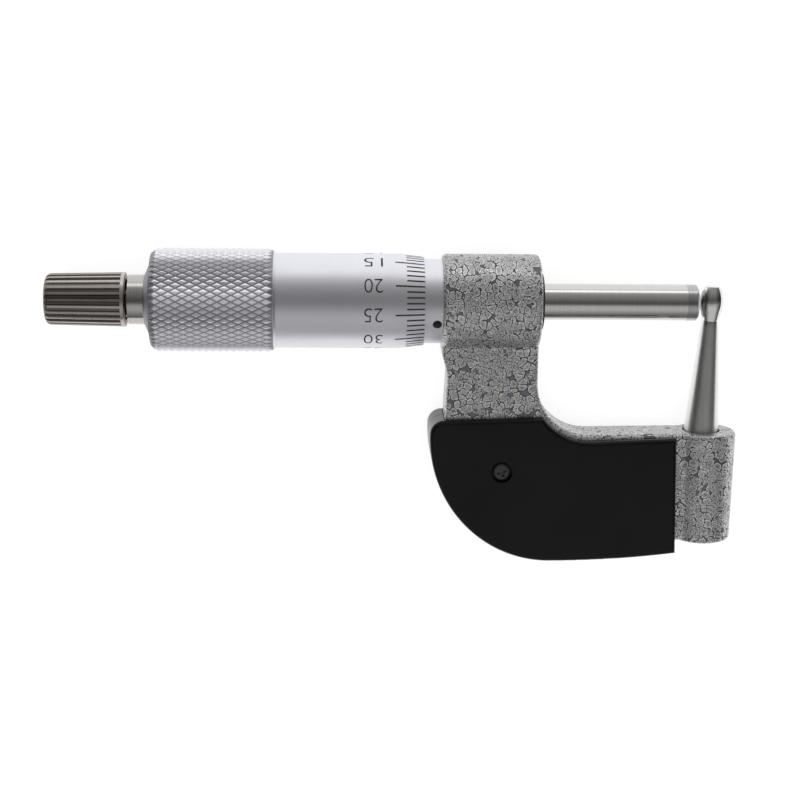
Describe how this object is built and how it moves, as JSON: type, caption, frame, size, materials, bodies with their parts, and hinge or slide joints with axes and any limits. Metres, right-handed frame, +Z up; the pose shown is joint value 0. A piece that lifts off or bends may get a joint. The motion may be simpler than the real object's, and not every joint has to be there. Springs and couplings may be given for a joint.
{
  "type": "tube micrometer",
  "caption": "Outside micrometer with a post-shaped anvil for the wall of a tube: a painted U-frame with moulded covers, a screw spindle under a knurled thimble, and a ratchet knob.",
  "frame": {"origin": "contact point of the anvil's head, on the spindle axis", "axes": "+X along the spindle towards the anvil, +Z up out of the back side as the tool lies, +Y from the frame's arm towards the spindle"},
  "size_m": [0.1244, 0.0564, 0.0185],
  "materials": {
    "hammered_paint": "hammered",
    "polished_steel": "polished",
    "carbide": "lapped",
    "satin_chrome": "satin",
    "warm_steel": "brushed",
    "plain_steel": "plain",
    "blackened_steel": "blackened",
    "black_steel": "blackened",
    "brass_pad": "plain",
    "black_plastic": "semi-matte"
  },
  "bodies": {
    "frame": {"frame": "hammered_paint", "anvil_post": "polished_steel", "guide_sleeve": "blackened_steel", "adjusting_nut": "plain_steel", "graduated_sleeve": "satin_chrome", "back_cover": "black_plastic", "front_cover": "black_plastic", "cover_screw": "black_steel", "lock_pad": "brass_pad"},
    "spindle": {"spindle": "polished_steel", "spindle_tip": "carbide"},
    "thimble": {"thimble": "satin_chrome", "ratchet_stem": "warm_steel", "ratchet_ring": "plain_steel", "ratchet_spring": "plain_steel", "ratchet_washer": "plain_steel", "ratchet_screw": "plain_steel"},
    "ratchet_knob": {"ratchet_knob": "warm_steel"},
    "lock_lever": {"lock_lever": "black_steel", "lock_screw": "plain_steel"}
  },
  "joints": [
    {"name": "spindle_feed", "type": "slide", "parent": "frame", "child": "spindle", "axis": [1, 0, 0], "range_m": [-0.02448, 0.00052]},
    {"name": "thimble_turn", "type": "hinge", "parent": "spindle", "child": "thimble", "pos_m": [0, 0, 0], "axis": [1, 0, 0], "range_deg": [-17626.1, 374.9]},
    {"name": "ratchet_turn", "type": "hinge", "parent": "thimble", "child": "ratchet_knob", "pos_m": [-0.11, 0, 0], "axis": [1, 0, 0], "continuous": true},
    {"name": "lock_lever_turn", "type": "hinge", "parent": "frame", "child": "lock_lever", "pos_m": [-0.0362, 0.00064, -0.00797], "axis": [0, 0.0794, -0.9968], "range_deg": [0, 60]}
  ],
  "couplings": [
    {"joint": "thimble_turn", "follows": "spindle_feed", "rad_per_m": 12566}
  ]
}
